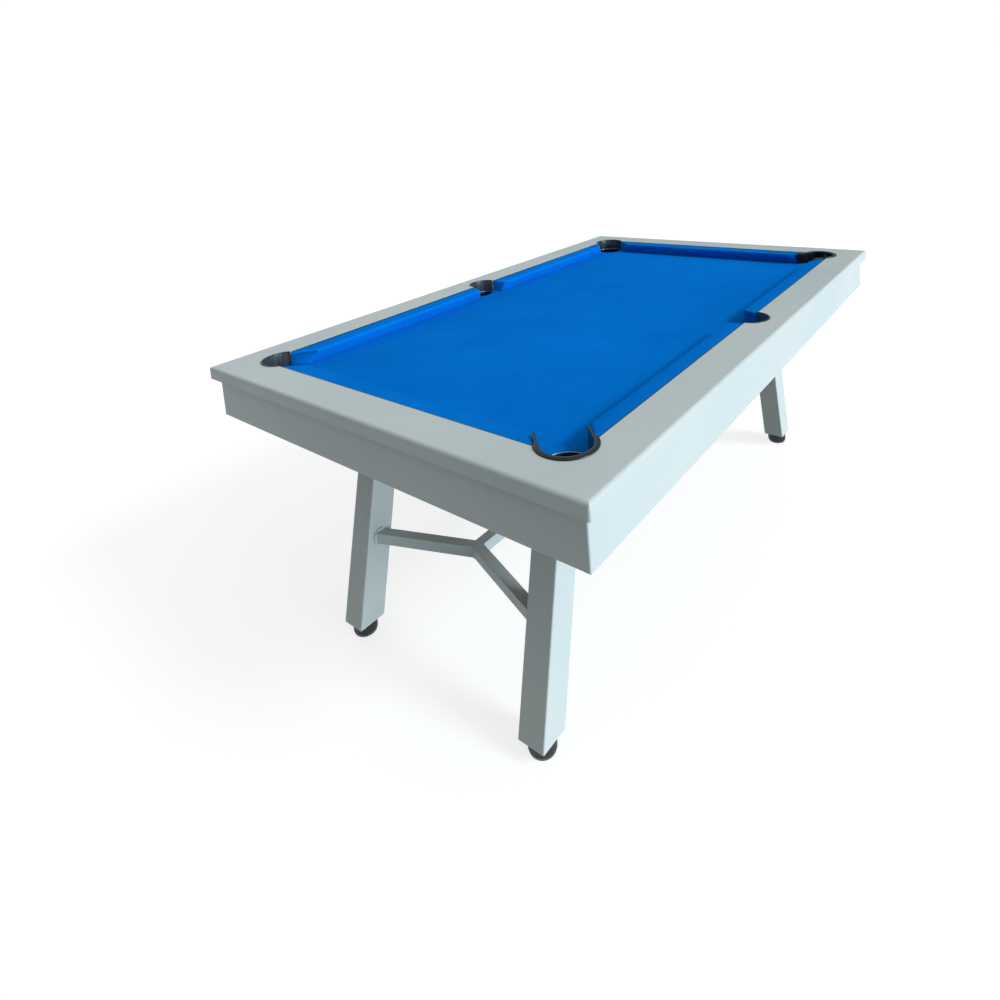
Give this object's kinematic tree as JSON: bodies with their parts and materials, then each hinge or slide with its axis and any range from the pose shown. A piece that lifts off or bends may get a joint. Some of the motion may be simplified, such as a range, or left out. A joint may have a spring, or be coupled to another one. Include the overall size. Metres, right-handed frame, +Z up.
{
  "type": "pool table",
  "caption": "Small pool table with a steel frame, a cloth-covered bed with cushions and pockets, leaning box legs, a stretcher and levelling feet.",
  "frame": {"origin": "centre of the object's box, on the floor", "axes": "+X along the table's length, +Y across it towards the back, +Z up"},
  "size_m": [2.005, 1.225, 0.7845],
  "materials": {
    "frame_paint": "light grey powder coat, satin",
    "blue_cloth": "woven pool cloth, matt",
    "bed_board": "dense board, sanded",
    "pocket_plastic": "moulded black plastic, semi-gloss",
    "black_rubber": "moulded black rubber, satin",
    "zinc_steel": "zinc-plated thread"
  },
  "bodies": {
    "table": {"rail_front": "frame_paint", "apron_front": "frame_paint", "rail_right": "frame_paint", "apron_right": "frame_paint", "rail_back": "frame_paint", "apron_back": "frame_paint", "rail_left": "frame_paint", "apron_left": "frame_paint", "bed_panel": "bed_board", "bed_cloth": "blue_cloth", "cushion_left": "blue_cloth", "cushion_right": "blue_cloth", "cushion_front_left": "blue_cloth", "cushion_front_right": "blue_cloth", "cushion_back_left": "blue_cloth", "cushion_back_right": "blue_cloth", "pocket_liner_front_left": "pocket_plastic", "pocket_cup_front_left": "pocket_plastic", "pocket_liner_front_middle": "pocket_plastic", "pocket_cup_front_middle": "pocket_plastic", "pocket_liner_front_right": "pocket_plastic", "pocket_cup_front_right": "pocket_plastic", "pocket_liner_back_right": "pocket_plastic", "pocket_cup_back_right": "pocket_plastic", "pocket_liner_back_middle": "pocket_plastic", "pocket_cup_back_middle": "pocket_plastic", "pocket_liner_back_left": "pocket_plastic", "pocket_cup_back_left": "pocket_plastic", "pocket_lip_front_left": "black_rubber", "pocket_lip_front_right": "black_rubber", "cross_beam_end_left": "frame_paint", "cross_beam_mid_left": "frame_paint", "cross_beam_mid_right": "frame_paint", "cross_beam_end_right": "frame_paint", "leg_front_left": "frame_paint", "leg_plate_front_left": "frame_paint", "stretcher_flange_front_left": "frame_paint", "leg_front_right": "frame_paint", "leg_plate_front_right": "frame_paint", "stretcher_flange_front_right": "frame_paint", "leg_back_right": "frame_paint", "leg_plate_back_right": "frame_paint", "stretcher_flange_back_right": "frame_paint", "leg_back_left": "frame_paint", "leg_plate_back_left": "frame_paint", "stretcher_flange_back_left": "frame_paint", "stretcher_vee_left": "frame_paint", "stretcher_vee_right": "frame_paint", "stretcher_bar": "frame_paint"},
    "foot_front_left": {"foot_stem_front_left": "zinc_steel", "foot_pad_front_left": "black_rubber"},
    "foot_front_right": {"foot_stem_front_right": "zinc_steel", "foot_pad_front_right": "black_rubber"},
    "foot_back_right": {"foot_stem_back_right": "zinc_steel", "foot_pad_back_right": "black_rubber"},
    "foot_back_left": {"foot_stem_back_left": "zinc_steel", "foot_pad_back_left": "black_rubber"}
  },
  "joints": [
    {"name": "level_front_left", "type": "slide", "parent": "table", "child": "foot_front_left", "axis": [0, 0, 1], "range_m": [-0.015, 0]},
    {"name": "level_front_right", "type": "slide", "parent": "table", "child": "foot_front_right", "axis": [0, 0, 1], "range_m": [-0.015, 0]},
    {"name": "level_back_right", "type": "slide", "parent": "table", "child": "foot_back_right", "axis": [0, 0, 1], "range_m": [-0.015, 0]},
    {"name": "level_back_left", "type": "slide", "parent": "table", "child": "foot_back_left", "axis": [0, 0, 1], "range_m": [-0.015, 0]}
  ]
}
